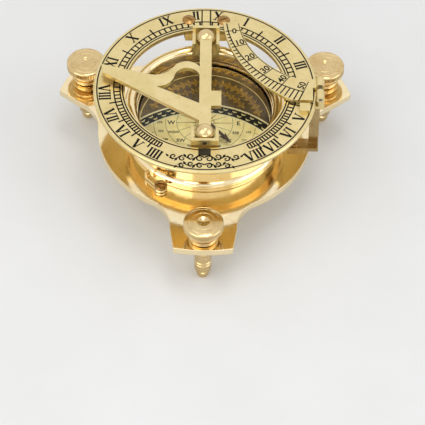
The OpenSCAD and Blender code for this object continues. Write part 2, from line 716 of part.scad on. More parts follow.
module gnomon_body() {
    touch = hump + hump_r * (hollow - hump) / norm(hollow - hump);
    difference() {
        union() {
            sheet() polygon([[0, style_foot_y], [-gnomon_half, style_foot_y], [-style_reach, tip_y],
                [-style_reach - 0.7, tip_y + tip_h], hollow - [hollow_r * 0.22, hollow_r * 0.975],
                hollow - [0, hollow_r * 0.9], touch, hump, [0, hump[1]]]);
            sheet() translate(hump) circle(r = hump_r);
        }
        cutter() translate(hollow) circle(r = hollow_r);
        cutter() translate([0, tip_y - hump_r]) square(3 * hump_r);
    }
}

module gnomon_window() {
    touch = eye + eye_r * (tongue - eye) / norm(tongue - eye);
    difference() {
        union() {
            cutter() polygon([[-gnomon_half, window_foot_y], window_tip, touch, eye,
                [-gnomon_half, eye[1]]]);
            cutter() intersection() {
                translate(eye) circle(r = eye_r);
                translate([-gnomon_half - 2 * eye_r, eye[1] - 0.2 * eye_r])
                    square([2 * eye_r, 2 * eye_r]);
            }
        }
        cutter() translate(tongue) circle(r = tongue_r);
    }
}

module gnomon_plate() color(pale_brass) set_down() {
    difference() {
        gnomon_body();
        gnomon_window();
    }
    sheet() translate([-gnomon_half, -gnomon_y]) square([bar_w, 2 * gnomon_y]);
    sheet() translate([0, tab_y]) square([gnomon_half + tab_reach, tab_l]);
}

module gnomon_heads() color(pale_brass) set_down()
    for (side = [0, 1]) mirror([0, side, 0]) difference() {
        translate([0, gnomon_y, pivot_z]) sphere(r = head_r, $fn = 64);
        block_x(bar_w + 0.1, 0, gnomon_y + 0.1, gnomon_z - 0.05, gnomon_z + gnomon_t + 0.05);
        rod_y(gnomon_pin_r - seat_fit + pin_fit, gnomon_y, gnomon_y + 2 * head_r, 0, pivot_z);
    }

// Bracket that hangs from the ring's edge and carries the arc's hinge
module arc_bracket() color(pale_brass) set_down() difference() {
    union() {
        rod_y(arc_knuckle_r, arc_low_y, bracket_top_y, arc_x, arc_axis_z);
        translate([arc_web_x, arc_low_y, leaf_z])
            cube([arc_x + arc_knuckle_r - arc_web_x, arc_knuckle_l, arc_axis_z - leaf_z]);
        translate([bracket_in_x, arc_low_y, leaf_z])
            cube([arc_x + arc_knuckle_r - bracket_in_x, arc_knuckle_l, leaf_t]);
        translate([bracket_in_x, stud_y - stud_w / 2, leaf_z])
            cube([stud_w, arc_low_y - stud_y + stud_w / 2 + over, leaf_t]);
    }
    rod_y(arc_pin_r, arc_low_y - over, bracket_top_y + over, arc_x, arc_axis_z);
    translate([stud_x, stud_y, leaf_z - over])
        cylinder(r = small_shank_r, h = leaf_t + 2 * over, $fn = 32);
}

// Square stud that draws the bracket up against the ring
module arc_bracket_screw() color(pale_brass) set_down() translate([stud_x, stud_y, 0]) {
    block_x(stud_w, -stud_w / 2, stud_w / 2, ring_top, ring_top + stud_h);
    translate([0, 0, leaf_z + tip_gap])
        cylinder(r = small_shank_r - seat_fit, h = ring_top - leaf_z, $fn = 32);
}

module arc_hinge_pin() color(steel) set_down()
    rod_y(arc_pin_r - seat_fit, arc_low_y, arc_knuckle_y + arc_knuckle_l, arc_x, arc_axis_z);

// Curved band between two circles that widens towards its hinge and folds flat over the ring
module latitude_arc() color(pale_brass) set_down() difference() {
    union() {
        translate([0, 0, arc_z]) linear_extrude(arc_t) difference() {
            intersection() {
                translate([arc_out_x + arc_out_r, arc_centre_y]) circle(r = arc_out_r, $fn = 240);
                translate([0, arc_low_y]) square([arc_side_x, arc_north_y - arc_low_y]);
            }
            translate([arc_in_x + arc_in_r, arc_centre_y]) circle(r = arc_in_r, $fn = 240);
        }
        translate([arc_x - arc_root, arc_knuckle_y, arc_z]) cube([arc_root, arc_knuckle_l, arc_t]);
        rod_y(arc_knuckle_r, arc_knuckle_y, arc_knuckle_y + arc_knuckle_l, arc_x, arc_axis_z);
    }
    rod_y(arc_pin_r - seat_fit + pin_fit, arc_knuckle_y - over, arc_knuckle_y + arc_knuckle_l + over,
        arc_x, arc_axis_z);
}

// Post at the edge of the plate that the ring's bracket comes down on
module index_post() color(pale_brass) set_down() difference() {
    union() {
        translate([post_x, post_y, plate_top]) cube([post_w, post_t, post_top - plate_top]);
        translate([post_foot_x, post_y - post_foot_l, plate_top])
            cube([post_x + post_w - post_foot_x, post_foot_l + post_t, post_foot_t]);
    }
    translate([post_screw_x, post_screw_y, plate_top - over])
        cylinder(r = small_shank_r, h = post_foot_t + 2 * over, $fn = 32);
}

module post_screws() color(copper) set_down()
    translate([post_screw_x, post_screw_y, plate_top + post_foot_t])
        round_screw(small_head_r, small_head_h, small_shank_r - seat_fit,
            post_foot_t + screw_bite - tip_gap);

base_plate();
levelling_screw_front();
levelling_screw_left();
levelling_screw_right();
levelling_knob_front();
levelling_knob_left();
levelling_knob_right();
compass_bowl();
bowl_bezel();
bowl_screws();
compass_card();
chapter_ring();
compass_glass();
glass_retainer();
needle_pivot();
compass_needle();
needle_cap();
lock_lever();
lock_screw();
hinge_bracket();
bracket_screws();
hinge_pin();
hinge_leaf();
ring_screws();
dial_ring();
north_yoke();
south_yoke();
yoke_screws();
gnomon_pins();
gnomon_plate();
gnomon_heads();
arc_bracket();
arc_bracket_screw();
arc_hinge_pin();
latitude_arc();
index_post();
post_screws();
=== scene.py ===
"""Looks of a sundial compass: brass finishes, engraving, compass card, turned knobs, glass, light and camera.

Lengths are millimetres, measured from the upright axis of the bowl and up from the table. Only the lamps,
the floor and the camera are placed in metres. Angles of the dial are degrees clockwise from its north, and
all other angles are degrees anticlockwise from east.
"""

import math

import bmesh
import bpy
from mathutils import Matrix, Vector


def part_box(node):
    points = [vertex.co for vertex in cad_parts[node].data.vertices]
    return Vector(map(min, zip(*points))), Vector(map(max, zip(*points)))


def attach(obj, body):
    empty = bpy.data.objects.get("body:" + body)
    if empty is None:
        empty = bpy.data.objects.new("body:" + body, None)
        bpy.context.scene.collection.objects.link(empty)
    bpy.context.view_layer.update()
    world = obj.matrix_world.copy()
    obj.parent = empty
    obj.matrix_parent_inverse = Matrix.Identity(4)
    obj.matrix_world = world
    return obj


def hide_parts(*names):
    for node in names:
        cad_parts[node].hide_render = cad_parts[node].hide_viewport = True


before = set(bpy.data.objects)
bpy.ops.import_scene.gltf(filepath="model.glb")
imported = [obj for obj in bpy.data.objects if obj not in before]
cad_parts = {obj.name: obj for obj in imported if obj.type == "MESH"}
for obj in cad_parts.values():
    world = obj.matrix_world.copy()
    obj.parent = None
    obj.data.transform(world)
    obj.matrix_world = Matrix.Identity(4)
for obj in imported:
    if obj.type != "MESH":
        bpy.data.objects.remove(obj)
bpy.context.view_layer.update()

MM = 0.001
CENTRE = (0, 0)


def node_box(node):
    """Lowest and highest corner of a CAD node, in millimetres from the frame's origin."""
    low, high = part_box(node)
    return low / MM, high / MM


# Places taken from the frame
ring_low, ring_high = node_box("dial_ring")
card_low, card_high = node_box("compass_card")
AXIS = ((ring_low.x + ring_high.x) / 2, (ring_low.y + ring_high.y) / 2)
RING_TOP = ring_high.z
CARD_TOP = card_high.z
CARD_R = (card_high.x - card_low.x) / 2

# Engraving: how far a filled line goes into its surface and stands over it
INK_DEPTH = 0.05
INK_RISE = 0.02
# Text: how much its strokes are thickened as a share of its height, and a capital's share of the font's size
TEXT_WEIGHT = 0.035
CAPITAL_SHARE = 0.73

# Hour scale: radii of its circles and ends of its ticks, half the room between the noon lines, and widths
LINE_OUT_R = 47.5
LINE_IN_R = 36.3
TRACK_IN_R = 37.4
TRACK_OUT_R = 40.1
HALF_TICK_R = 42.9
NOON_X = 1.9
LINE_W = 0.6
TICK_W = 0.75
CIRCLE_STEPS = 240
TRACK_STEPS = 120
TRACK_CELLS = 6
# Hours from noon outwards, and the two halves of the twelve with their angles
HOUR_ANGLES = (0, 24, 48, 71, 94.5, 112.5, 126, 139, 151)
WEST_HOURS = ("", "XI", "X", "IX", "VIII", "VII", "VI", "V", "IIII")
EAST_HOURS = ("", "I", "II", "III", "IIII", "V", "VI", "VII", "VIII")
NOON_HALVES = (("X", 7.0), ("II", -6.0))

# Roman numerals: radius of their feet, height, and what a width of 1 comes to
NUMERAL_BASE_R = 46.8
NUMERAL_H = 5.3
NUMERAL_W = 4.3
THICK, THIN, STEM = 0.26, 0.12, 0.22
SERIF_T, SERIF_REACH = 0.095, 0.16
LETTER_GAP = 0.37
# Each letter's strokes as (start, end, width), the ends that carry serifs, and half the room that it takes
LETTERS = {
    "I": ([((0, 0), (0, 1), STEM)], [(0, 0), (0, 1)], 0.0),
    "V": ([((-0.32, 1), (0.03, 0), THICK), ((0.36, 1), (0.05, 0.02), THIN)], [(-0.32, 1), (0.36, 1)], 0.34),
    "X": ([((-0.33, 1), (0.33, 0), THICK), ((0.33, 1), (-0.33, 0), THIN)],
          [(-0.33, 1), (0.33, 1), (-0.33, 0), (0.33, 0)], 0.34),
}

# Scrolls at the foot of the dial: rows as (level, half length, curls, radius of a curl)
SCROLL_ROWS = ((-40.7, 15.2, 4, 1.6), (-44.8, 11.6, 3, 1.3))
STALK_STEPS = 40
STALK_W, STALK_TAPER = 0.75, 0.4
CURL_W, CURL_TAPER = 0.85, 0.6
CURL_TURNS = 1.1
CURL_SHRINK = 0.06
SCROLL_LEAF = (2.1, 1.0)
SCROLL_LEAF_LEAN = 38
# Heights of the stalk's waves, the curls and the leaves as shares of a curl's radius, and how far along its
# pitch a leaf stands
STALK_WAVE, CURL_LIFT, LEAF_LIFT = 0.55, 0.35, 0.25
LEAF_ALONG = 0.55

# Latitude arc: its top over the ring, its edges and its divider as (centre, radius), the point that its
# lines aim at, and the angle of every ten degrees of latitude
ARC_RISE = 2.1
ARC_OUT = ((65.0, 42.3), 57.6)
ARC_IN = ((55.4, 42.3), 40.8)
ARC_DIVIDER = ((56.7, 42.3), 47.8)
ARC_HUB = (59.35, 38.2)
ARC_ANGLES = (186.5, 198.0, 210.3, 223.2, 235.5, 248.3)
ARC_STEPS = 60
ARC_CELLS = 5
ARC_DIGIT_H = 3.1
# How far the divider runs on beyond the scale, and the angle where the border meets the arc's foot
DIVIDER_BEFORE, DIVIDER_AFTER = 5.5, 0.4
BORDER_END = 237
BORDER_INSET, ARC_TICK_INSET = 0.45, 0.5
DIVIDER_W, BORDER_W, TEN_W, ARC_TICK_W = 0.55, 0.36, 0.42, 0.6
# Room between a number and its line, and how much of the line under the nought is left open
DIGIT_CLEAR = 0.55
NOUGHT_OPEN = 0.36

# Print on the card, and the field beyond the border, which is painted shade and painted reflection: lowest
# and highest level of each layer over the card
CARD_LAYERS = {"rose": (-0.02, 0.03), "star": (-0.02, 0.035), "border": (-0.02, 0.07),
               "pale_lines": (-0.02, 0.06), "crescents": (0.02, 0.1), "field": (-0.02, 0.05),
               "leaves": (0.02, 0.09)}
PRINT_R = CARD_R - 2.2

# Rose: its circles, and its points with the heights of their letters, which repeat in every quarter
CIRCLES = (4.2, 12.5, 17.4, 22.7, 27.6)
POINTS = ("E", "ENE", "NE", "NNE", "N", "NNW", "NW", "WNW", "W", "WSW", "SW", "SSW", "S", "SSE", "SE", "ESE")
POINT_STEP = 360 / len(POINTS)
LETTER_H = (2.3, 1.5, 1.9, 1.5)
LETTER_R = 14.9
DEGREE_H = 1.2
DEGREE_R = 20.1
DEGREE_STEP, TICK_STEP = 15, 5
SHORT_TICK = 2
ROSE_LINE_W, ROSE_TICK_W = 0.16, 0.18
STAR_LENGTHS = (11.2, 6.4, 8.8, 6.4)
STAR_ROOT = 2.4

# Border across the card: centre and radii of its circles, where the field starts, and its pale lines
BAND_CENTRE = (-1.5, -33.0)
BAND_R = (39.4, 43.6)
FIELD_R = BAND_R[1] + 0.9
PALE_LINES = ((BAND_R[1] + 0.2, FIELD_R), (BAND_R[0] - 0.75, BAND_R[0] - 0.15))
BAND_STEPS = 48
# Crescents: pitch along the border, rows as shares of its width, radius of the curve, how far its centre
# stands beyond the row, half its opening, and its width at the tips and what the middle has more
CRESCENT_PITCH = 4.3
CRESCENT_ROWS = (0.3, 0.72)
CRESCENT_R, CRESCENT_BEYOND, CRESCENT_HALF = 1.2, 0.9, 60
CRESCENT_TIP, CRESCENT_MORE = 0.14, 0.56
CRESCENT_LIMIT = CARD_R - 3.4
# Garland on the field: rows as (radius, pitch in degrees, size), with three leaves and a curl in each pitch
GARLAND_ROWS = ((19.6, 9.0, 1.0), (24.6, 7.0, 1.15))
GARLAND_START, GARLAND_SPAN = 15, 150
GARLAND_CLEAR = 2.2
GARLAND_LEAF = (2.3, 1.1)
GARLAND_TURNS = (25, 155, 270)
GARLAND_CURL_R, GARLAND_CURL_W = 0.9, 0.34
GARLAND_CURL_TURNS, GARLAND_CURL_STEPS = 1.2, 16

# Knob: collar, neck and bead up to the disc, as (radius, height over the knob's foot)
KNOB_STEM = ((0, 0), (5.4, 0), (5.9, 0.15), (6.4, 0.7), (6.4, 1.7), (6.1, 2.05), (5.3, 2.3), (5.3, 2.5),
             (5.75, 2.7), (5.75, 3.0), (5.1, 3.3), (5.0, 3.6), (6.5, 4.0), (7.2, 4.25), (7.4, 4.6),
             (7.4, 5.1), (7.1, 5.45), (6.8, 5.6), (6.8, 5.85), (8.1, 6.1))
# The disc's lower edge and the rows of its knurl, over the disc's foot
DISC_T = 4.2
DISC_LIP = (8.55, 0.3)
DISC_EDGE = 0.55
KNURL_FIRST, KNURL_PITCH, KNURL_ROWS = 0.8, 0.31, 8
# The domed top with its two fine grooves and its dimple, as (radius, depth under the knob's top)
KNOB_SHOULDER = 0.95
KNOB_TOP = ((8.55, 0.72), (8.2, 0.52), (7.6, 0.37), (6.95, 0.26), (6.85, 0.33), (6.75, 0.24), (5.6, 0.13),
            (4.7, 0.09), (4.6, 0.16), (4.5, 0.08), (3.2, 0.02), (2.7, 0), (2.4, 0.05), (2.2, 0.16),
            (1.5, 0.2), (1.2, 0.34), (0.6, 0.46), (0, 0.5))
# The knurl: how many ridges, half their depth, and where it starts and ends under the knob's top
KNURL_RIDGES = 72
KNURL_HALF_DEPTH = 0.16
KNURL_LOW, KNURL_HIGH = 3.5, 1.1

# On turned pieces, edges that turn by more than this many degrees stay sharp
SHARP_ANGLE = 32

# Levelling screw: the flat of its tip, its ball, and its turned foot as (radius, height over the table)
TIP_R = 1.2
BALL_R, BALL_Z = 2.7, 2.42
BALL_ANGLES = (-50, -35, -20, 0, 20, 35, 48)
SCREW_FOOT = ((1.75, 4.75), (2.0, 4.95), (3.3, 5.3), (3.75, 5.9), (3.8, 8.2), (3.75, 9.6), (3.4, 9.9),
              (3.4, 10.1), (3.75, 10.4), (3.75, 11.2), (3.3, 11.6), (3.3, 11.9), (3.8, 12.3), (4.0, 15.0),
              (4.05, 17.0))
# Its flange, as (what it has less than the full radius, height), and the stem with its thread
SCREW_FLANGE = ((0.1, 17.5), (0, 18.0), (0.1, 18.5), (0.3, 18.7))
STEM_R, STEM_FOOT = 2.5, 18.7
THREAD_LEAD, THREAD_DEPTH, THREAD_END = 0.8, 0.34, 0.3
THREAD_ROWS, STEM_SEGMENTS = 6, 64

# Floor, surround and lamps
FLOOR_HALF = 3.0
SOFT_WHITE, SOFT_LEVEL = (0.93, 0.96, 1.0, 1), 0.62
WHITE, WHITE_LEVEL = (1, 1, 1, 1), 1.0
LAMP_TARGET = (0, 0, 0.03)
# Lamps as name, place, width and height, power and colour
LAMPS = (
    ("key_lamp", (-0.55, -0.45, 0.95), (0.9, 0.9), 3.8, (1.0, 0.98, 0.95)),
    ("fill_lamp", (0.8, -0.3, 0.6), (0.7, 0.7), 1.7, (0.97, 0.98, 1.0)),
    ("top_lamp", (0.1, 0.05, 1.15), (0.45, 0.35), 1.6, (1.0, 0.99, 0.98)),
    ("front_lamp", (0, -1.3, 0.25), (1.2, 0.4), 3.6, (1.0, 0.99, 0.97)),
)

# Camera: side of the photograph and focal length in its pixels, distance in metres, its angles, and the
# pixel on which the foot of the bowl's axis falls
PHOTO_SIDE = 425
FOCAL_PX = 2700
DISTANCE = 1.223
ELEVATION, AZIMUTH, ROLL = 48.9, -0.1, -0.9
AXIS_PX = (204.1, 168.1)
SENSOR_WIDTH = 36
CLIP = (0.05, 20)


# Flat and turned shapes

class Flat:
    """Outlines in one plane, gathered as thin closed slabs in one mesh."""

    def __init__(self, low, high):
        self.mesh = bmesh.new()
        self.low = low
        self.high = high

    def points(self, line, z):
        """New corners along a line at one level."""
        return [self.mesh.verts.new((x, y, z)) for x, y in line]

    def slab(self, outline):
        """A slab with this outline."""
        low, high = self.points(outline, self.low), self.points(outline, self.high)
        self.mesh.faces.new(high)
        self.mesh.faces.new(low[::-1])
        for i, j in zip(range(-1, len(low) - 1), range(len(low))):
            self.mesh.faces.new((low[i], low[j], high[j], high[i]))

    def band(self, left, right, closed=False):
        """A slab between two lines that have as many points each."""
        ll, rl = self.points(left, self.low), self.points(right, self.low)
        lh, rh = self.points(left, self.high), self.points(right, self.high)
        for i in range(len(left) if closed else len(left) - 1):
            j = (i + 1) % len(left)
            self.mesh.faces.new((lh[i], rh[i], rh[j], lh[j]))
            self.mesh.faces.new((rl[i], ll[i], ll[j], rl[j]))
            self.mesh.faces.new((ll[i], lh[i], lh[j], ll[j]))
            self.mesh.faces.new((rh[i], rl[i], rl[j], rh[j]))
        if not closed:
            self.mesh.faces.new((ll[0], rl[0], rh[0], lh[0]))
            self.mesh.faces.new((lh[-1], rh[-1], rl[-1], ll[-1]))

    def line(self, start, end, width):
        """A straight line of one width."""
        self.stroke([start, end], [width, width])

    def stroke(self, path, widths):
        """A line along a path, with its width at each point."""
        left, right = [], []
        for i, (x, y) in enumerate(path):
            before, after = path[max(i - 1, 0)], path[min(i + 1, len(path) - 1)]
            dx, dy = after[0] - before[0], after[1] - before[1]
            half = widths[i] / 2 / math.hypot(dx, dy)
            left.append((x - dy * half, y + dx * half))
            right.append((x + dy * half, y - dx * half))
        self.band(left, right)

    def arc(self, centre, radius, width, start=0.0, end=360.0, steps=180):
        """Part of a circle's line, or all of it."""
        closed = end - start >= 360
        count = steps if closed else steps + 1
        angles = [start + (end - start) * i / steps for i in range(count)]
        inner = [polar(centre, radius - width / 2, a) for a in angles]
        outer = [polar(centre, radius + width / 2, a) for a in angles]
        self.band(outer, inner, closed)

    def write(self, text, height, place, direction):
        """Text with capitals of this height, centred at a place, along a direction."""
        data = text_mesh(text, height)
        middle = (self.low + self.high) / 2
        matrix = (Matrix.Translation((*place, middle)) @ Matrix.Rotation(math.radians(direction), 4, "Z")
                  @ Matrix.Diagonal((1, 1, self.high - self.low, 1)))
        start = len(self.mesh.verts)
        self.mesh.from_mesh(data)
        self.mesh.verts.ensure_lookup_table()
        bmesh.ops.transform(self.mesh, matrix=matrix, verts=self.mesh.verts[start:])
        bpy.data.meshes.remove(data)

    def piece(self, name, body, finish, slot):
        """Ends the drawing and makes it a piece that rides on a body."""
        bmesh.ops.recalc_face_normals(self.mesh, faces=self.mesh.faces)
        return make_piece(name, self.mesh, body, finish)


def engraving(surface):
    """A drawing of filled lines in a surface at this height."""
    return Flat(surface - INK_DEPTH, surface + INK_RISE)


def card_layer(name):
    """A drawing in one of the printed layers on the card."""
    low, high = CARD_LAYERS[name]
    return Flat(CARD_TOP + low, CARD_TOP + high)


def polar(centre, radius, angle):
    """The point at an angle anticlockwise from east."""
    a = math.radians(angle)
    return (centre[0] + radius * math.cos(a), centre[1] + radius * math.sin(a))


def on_dial(radius, angle):
    """The point of the dial at an angle clockwise from north."""
    return polar(CENTRE, radius, 90 - angle)


def text_mesh(text, height):
    """A line of text as slabs of thickness 1, centred on the origin, with capitals of this height."""
    curve = bpy.data.curves.new("text", "FONT")
    curve.body = text
    curve.size = height / CAPITAL_SHARE
    curve.align_x = "CENTER"
    curve.extrude = 0.5
    curve.offset = TEXT_WEIGHT * height
    curve.resolution_u = 4
    writer = bpy.data.objects.new("text", curve)
    bpy.context.scene.collection.objects.link(writer)
    bpy.context.view_layer.update()
    evaluated = writer.evaluated_get(bpy.context.evaluated_depsgraph_get())
    data = bpy.data.meshes.new_from_object(evaluated)
    bpy.data.objects.remove(writer)
    bpy.data.curves.remove(curve)
    data.transform(Matrix.Translation((0, -height / 2, 0)))
    return data


def turned(profile, segments, centre, cut):
    """A turned solid round an upright axis, with its profile as (radius, height) from the bottom to the top.
    cut(r, z, angle) gives the radius where a knurl or a thread may be cut into it."""
    mesh = bmesh.new()
    rows = []
    for r, z in profile:
        if r == 0:
            rows.append([mesh.verts.new((*centre, z))])
            continue
        row = []
        for i in range(segments):
            a = 2 * math.pi * i / segments
            radius = cut(r, z, a)
            x, y = centre[0] + radius * math.cos(a), centre[1] + radius * math.sin(a)
            row.append(mesh.verts.new((x, y, z)))
        rows.append(row)
    for low, high in zip(rows, rows[1:]):
        for i in range(segments):
            j = (i + 1) % segments
            corners = [low[i % len(low)], low[j % len(low)], high[j % len(high)], high[i % len(high)]]
            mesh.faces.new(list(dict.fromkeys(corners)))
    return mesh


def make_piece(name, mesh, body, finish, smooth=False):
    """Makes a piece of a bmesh in millimetres about the axis, and frees the bmesh."""
    place = Matrix.Translation((AXIS[0] * MM, AXIS[1] * MM, 0)) @ Matrix.Scale(MM, 4)
    bmesh.ops.transform(mesh, matrix=place, verts=mesh.verts)
    data = bpy.data.meshes.new(name)
    mesh.to_mesh(data)
    mesh.free()
    if smooth:
        data.shade_smooth()
        data.set_sharp_from_angle(angle=math.radians(SHARP_ANGLE))
    data.materials.append(FINISHES[finish])
    piece = bpy.data.objects.new(name, data)
    bpy.context.scene.collection.objects.link(piece)
    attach(piece, body)
    return piece


# Materials

def linear(red, green, blue):
    """A colour given as 0 to 255 in sRGB, as linear light."""
    parts = [c / 255 for c in (red, green, blue)]
    return tuple(c / 12.92 if c <= 0.04045 else ((c + 0.055) / 1.055) ** 2.4 for c in parts) + (1.0,)


class Nodes:
    """A material with one Principled shader, and short ways to add what drives it."""

    def __init__(self, name):
        self.material = bpy.data.materials.new(name)
        self.material.use_nodes = True
        self.tree = self.material.node_tree
        self.shader = self.tree.nodes["Principled BSDF"]
        self.place = self.tree.nodes.new("ShaderNodeTexCoord").outputs["Object"]

    def new(self, kind, links=(), **settings):
        """A new node with its settings, and with links from other nodes."""
        node = self.tree.nodes.new(kind)
        for key, value in settings.items():
            setattr(node, key, value)
        for socket, source in links:
            self.tree.links.new(source, node.inputs[socket])
        return node

    def noise(self, feature, detail=3.0, roughness=0.55, scale=(1, 1, 1)):
        """Noise from 0 to 1 with features of this size in millimetres, finer along an axis by its scale."""
        stretch = self.new("ShaderNodeMapping", [("Vector", self.place)])
        stretch.inputs["Scale"].default_value = scale
        node = self.new("ShaderNodeTexNoise", [("Vector", stretch.outputs["Vector"])])
        node.inputs["Scale"].default_value = 1 / (feature * MM)
        node.inputs["Detail"].default_value = detail
        node.inputs["Roughness"].default_value = roughness
        return node.outputs["Fac"]

    def between(self, value, low, high, start=0.3, end=0.7):
        """A value from start to end, mapped to low to high."""
        node = self.new("ShaderNodeMapRange", [("Value", value)])
        node.inputs["From Min"].default_value = start
        node.inputs["From Max"].default_value = end
        node.inputs["To Min"].default_value = low
        node.inputs["To Max"].default_value = high
        return node.outputs["Result"]

    def blend(self, factor, first, second):
        """One colour or another by a factor."""
        node = self.new("ShaderNodeMix", [(0, factor)], data_type="RGBA")
        for socket, colour in ((6, first), (7, second)):
            if isinstance(colour, tuple):
                node.inputs[socket].default_value = colour
            else:
                self.tree.links.new(colour, node.inputs[socket])
        return node.outputs[2]

    def relief(self, height, depth, edge=None):
        """Bump of this depth in millimetres, with edges rounded to a radius in millimetres."""
        node = self.new("ShaderNodeBump", [("Height", height)])
        node.inputs["Strength"].default_value = 1.0
        node.inputs["Distance"].default_value = depth * MM
        if edge:
            round_edge = self.new("ShaderNodeBevel", samples=4)
            round_edge.inputs["Radius"].default_value = edge * MM
            self.tree.links.new(round_edge.outputs["Normal"], node.inputs["Normal"])
        self.tree.links.new(node.outputs["Normal"], self.shader.inputs["Normal"])

    def to(self, socket, source):
        """Leads a source to a socket of the shader."""
        self.tree.links.new(source, self.shader.inputs[socket])

    def set(self, socket, value):
        """Sets a socket of the shader to one value."""
        self.shader.inputs[socket].default_value = value


def metal(name, light, dark, tarnish, polish, grain, grain_scale, grain_depth, edge=0.14):
    """Worked metal: clouded colour with tarnished spots, uneven polish, fine tool marks and softened edges.
    polish gives the smoothest and the roughest of it, and grain the size of the marks in millimetres."""
    n = Nodes(name)
    n.set("Metallic", 1.0)
    clouds = n.between(n.noise(9, detail=4), 0, 1)
    colour = n.blend(clouds, linear(*dark), linear(*light))
    spots = n.between(n.noise(2.2, detail=5, roughness=0.7), 0, 0.55, 0.52, 0.78)
    n.to("Base Color", n.blend(spots, colour, linear(*tarnish)))
    n.to("Roughness", n.between(n.noise(1.6, detail=5), *polish))
    n.relief(n.noise(grain, detail=4, roughness=0.6, scale=grain_scale), grain_depth, edge)
    return n.material


def enamel(name, colour, shade, roughness):
    """Filled or painted black: slightly uneven in colour, with little gloss. Its colours are linear light."""
    n = Nodes(name)
    n.set("Specular IOR Level", 0.12)
    n.to("Base Color", n.blend(n.between(n.noise(0.9), 0, 1), colour, shade))
    n.to("Roughness", n.between(n.noise(0.4), roughness - 0.1, roughness + 0.12))
    n.relief(n.noise(0.25), 0.004)
    return n.material


def gilt(name, light, dark, metallic, roughness):
    """Gilt print on card: a faint fibre grain under a thin lacquer."""
    n = Nodes(name)
    n.set("Metallic", metallic)
    n.set("Coat Weight", 0.25)
    n.set("Coat Roughness", 0.12)
    fibres = n.between(n.noise(5, detail=5), 0, 1, 0.35, 0.65)
    n.to("Base Color", n.blend(fibres, linear(*dark), linear(*light)))
    n.to("Roughness", n.between(n.noise(0.7), roughness - 0.08, roughness + 0.08))
    n.relief(n.noise(0.3), 0.006)
    return n.material


def glass(name, tint, refraction):
    """Clear flat glass with a faint tint. It lets light through to the card below."""
    n = Nodes(name)
    n.set("Base Color", tint)
    n.set("IOR", refraction)
    n.set("Transmission Weight", 1.0)
    n.to("Roughness", n.between(n.noise(6), 0.0, 0.03))
    n.relief(n.noise(12, detail=1), 0.01)
    shadow = n.new("ShaderNodeLightPath").outputs["Is Shadow Ray"]
    clear = n.new("ShaderNodeBsdfTransparent").outputs["BSDF"]
    mix = n.new("ShaderNodeMixShader", [(0, shadow), (1, n.shader.outputs["BSDF"]), (2, clear)])
    n.tree.links.new(mix.outputs["Shader"], n.tree.nodes["Material Output"].inputs["Surface"])
    return n.material


# Metals: light, dark and tarnished colour, smoothest and roughest polish, and size, stretch and depth of the
# marks. The polished brass also has its own rounding of the edges.
METALS = {
    "satin_brass": ((229, 211, 158), (217, 197, 139), (198, 168, 106), (0.3, 0.44), 0.5, (6, 1, 3), 0.006),
    "soft_brass": ((224, 202, 154), (208, 182, 130), (176, 138, 84), (0.16, 0.26), 0.4, (1, 1, 4), 0.006),
    "polished_brass": ((246, 229, 190), (240, 219, 172), (224, 190, 128), (0.05, 0.13), 1.4, (1, 1, 3), 0.008,
                       0.5),
    "turned_brass": ((222, 198, 148), (206, 177, 124), (176, 134, 82), (0.09, 0.2), 0.5, (1, 1, 8), 0.005),
    # Darker brass for the index post: its colour holds a painted dark reflection
    "painted_dark_reflection_brass": ((188, 164, 116), (162, 134, 90), (128, 98, 62), (0.12, 0.24), 0.6, (1, 1, 6), 0.01),
    "copper_alloy": ((172, 136, 82), (154, 117, 66), (120, 86, 48), (0.2, 0.34), 0.6, (1, 5, 1), 0.01),
    "browned_steel": ((96, 72, 54), (62, 44, 32), (44, 30, 22), (0.25, 0.4), 0.5, (1, 1, 6), 0.01),
    "blackened_steel": ((74, 70, 58), (48, 44, 36), (34, 30, 26), (0.3, 0.45), 0.5, (1, 1, 6), 0.01),
    "dark_steel": ((120, 118, 116), (84, 82, 84), (96, 70, 48), (0.25, 0.4), 0.5, (1, 1, 6), 0.01),
}
# Blacks: two shades of linear light and the roughness
ENAMELS = {
    "black_filling": ((0.004, 0.004, 0.003, 1), (0.012, 0.010, 0.008, 1), 0.5),
    "black_enamel": ((0.006, 0.006, 0.006, 1), (0.014, 0.013, 0.012, 1), 0.3),
}
# Prints: light and dark colour, how metallic and how rough
GILTS = {
    "printed_card": ((250, 230, 160), (236, 212, 138), 0.2, 0.45),
    # The dark field is painted shade and painted reflection over the far part of the card, not a print colour
    # of its own
    "card_field": ((112, 90, 56), (80, 62, 36), 0.5, 0.4),
    "card_pale_band": ((240, 228, 184), (224, 208, 156), 0.3, 0.35),
    "card_leaf": ((190, 152, 70), (154, 119, 49), 0.8, 0.35),
    "card_crescent": ((240, 222, 160), (220, 198, 132), 0.4, 0.35),
}
FINISHES = {name: metal(name, *look) for name, look in METALS.items()}
FINISHES.update((name, enamel(name, *look)) for name, look in ENAMELS.items())
FINISHES.update((name, gilt(name, *look)) for name, look in GILTS.items())
FINISHES["clear_glass"] = glass("clear_glass", (0.94, 0.97, 0.95, 1), 1.22)

